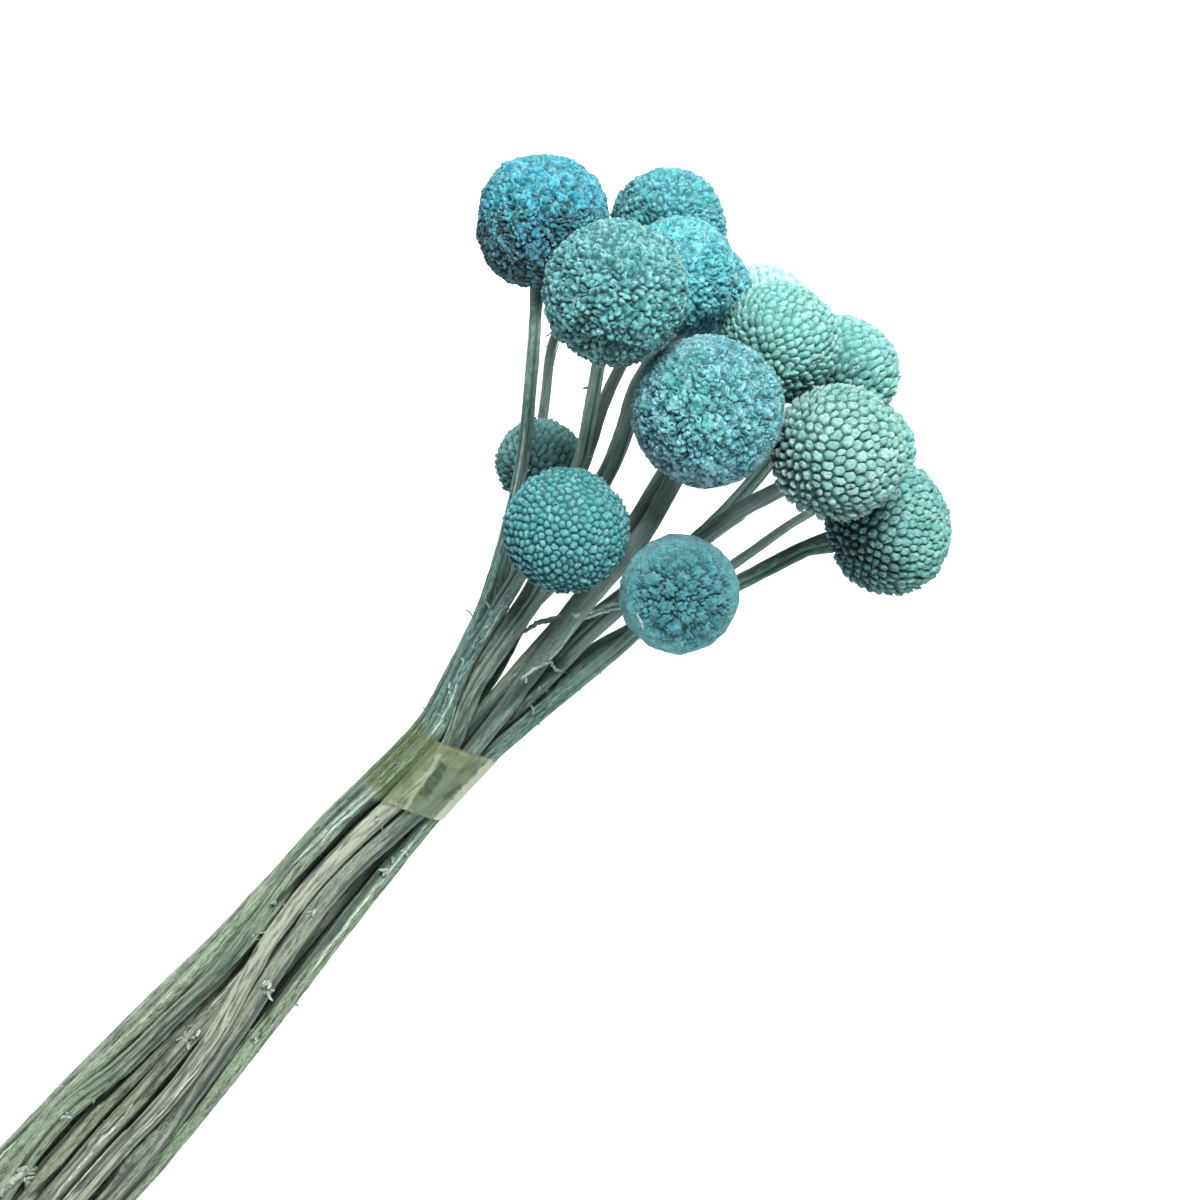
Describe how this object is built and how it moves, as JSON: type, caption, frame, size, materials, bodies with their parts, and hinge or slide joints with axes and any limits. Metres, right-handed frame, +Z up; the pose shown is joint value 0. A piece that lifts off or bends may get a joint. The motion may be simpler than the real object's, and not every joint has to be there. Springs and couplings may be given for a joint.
{
  "type": "billy buttons bunch",
  "caption": "Tied bunch of dyed dried billy buttons: round flower heads covered in tight florets on thin bare stems, held by a band of clear film and lying on its side.",
  "frame": {"origin": "on the table, under the centre of the lying bunch's box", "axes": "+X along the bunch from the cut ends to the flower heads, +Z up from the table that it lies on"},
  "size_m": [0.4516, 0.1262, 0.0958],
  "materials": {
    "head_blue": "matte",
    "head_teal": "matte",
    "head_mint": "matte",
    "stem": "matte",
    "tie_film": "satin"
  },
  "bodies": {
    "root": {"head_01": "head_blue", "stem_01": "stem", "head_02": "head_blue", "stem_02": "stem", "head_03": "head_teal", "stem_03": "stem", "head_04": "head_blue", "stem_04": "stem", "head_05": "head_blue", "stem_05": "stem", "head_06": "head_mint", "stem_06": "stem", "head_07": "head_mint", "stem_07": "stem", "head_08": "head_mint", "stem_08": "stem", "head_09": "head_blue", "stem_09": "stem", "head_10": "head_mint", "stem_10": "stem", "head_11": "head_mint", "stem_11": "stem", "head_12": "head_mint", "stem_12": "stem", "head_13": "head_teal", "stem_13": "stem", "head_14": "head_teal", "stem_14": "stem", "head_15": "head_teal", "stem_15": "stem", "tie": "tie_film"}
  },
  "joints": []
}
